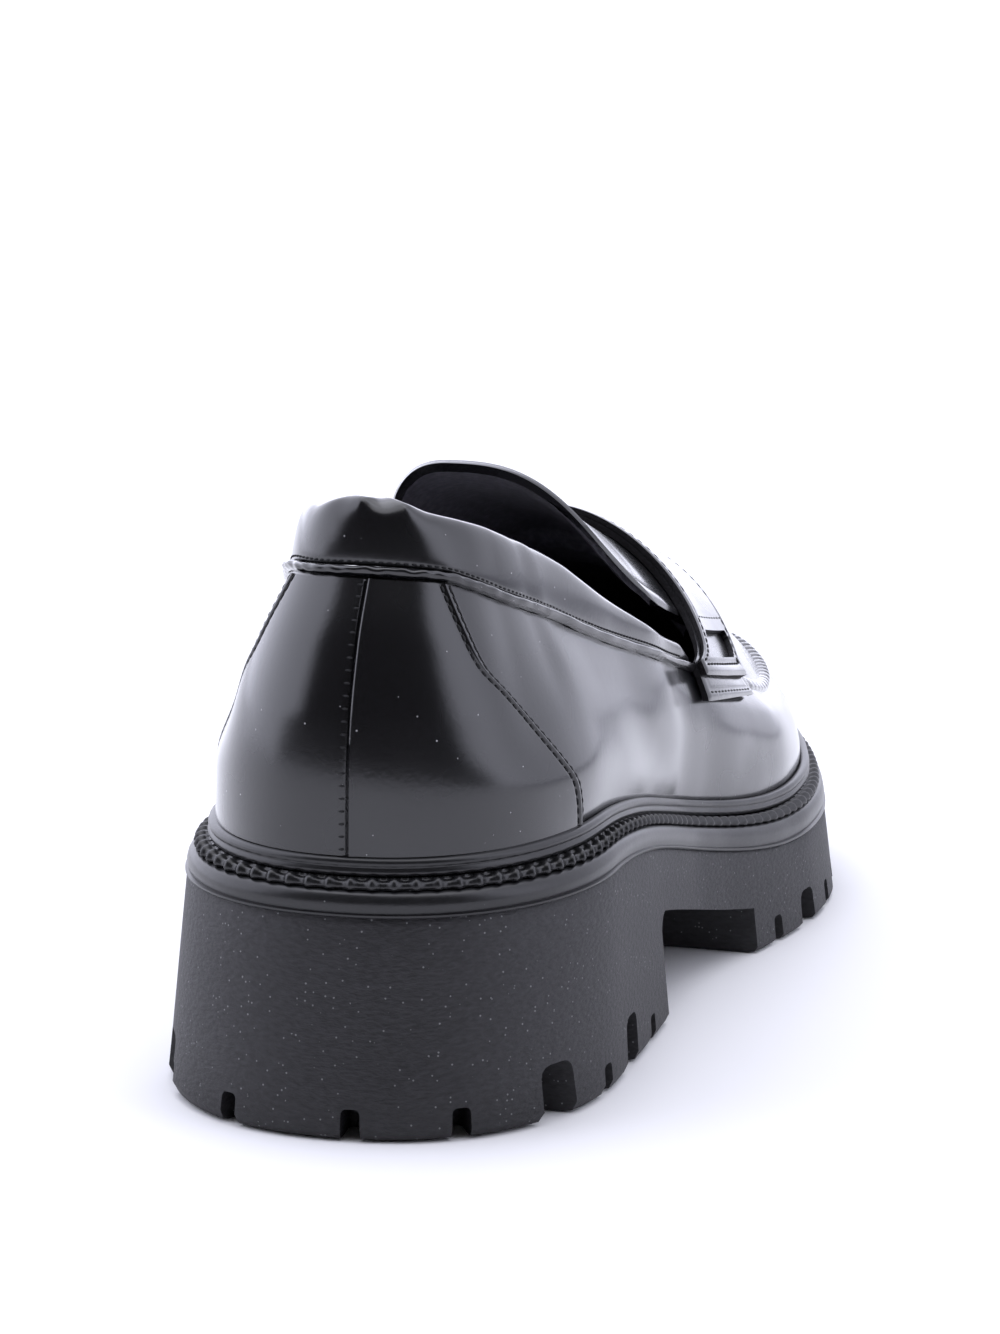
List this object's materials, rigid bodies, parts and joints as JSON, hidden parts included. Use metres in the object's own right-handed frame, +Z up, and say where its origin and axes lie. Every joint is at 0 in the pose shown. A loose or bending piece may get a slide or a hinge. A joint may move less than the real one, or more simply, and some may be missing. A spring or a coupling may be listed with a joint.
{
  "type": "chunky lug sole loafer",
  "caption": "Black brushed leather loafer on a chunky lugged rubber sole with a block heel, ribbed welt, padded collar and a saddle strap over the instep. Right shoe.",
  "frame": {"origin": "on the floor, under the middle of the heel block's tread", "axes": "+Y to the toe, +X to the outer side of a right shoe, +Z up"},
  "size_m": [0.1002, 0.2803, 0.1127],
  "materials": {
    "brushed_leather": "high gloss",
    "raw_edge_leather": "satin",
    "lining": "matt",
    "lugged_rubber": "matt, buffed",
    "smooth_rubber": "satin"
  },
  "bodies": {
    "root": {"outsole": "lugged_rubber", "midsole_band": "smooth_rubber", "ribbed_welt": "smooth_rubber", "rand": "smooth_rubber", "insole": "lining", "upper": "brushed_leather", "counter_outer": "brushed_leather", "counter_inner": "brushed_leather", "collar_band": "brushed_leather", "collar_bead": "brushed_leather", "apron_seam": "brushed_leather", "tongue": "brushed_leather", "saddle_strap": "raw_edge_leather", "strap_overlay": "brushed_leather"}
  },
  "joints": []
}
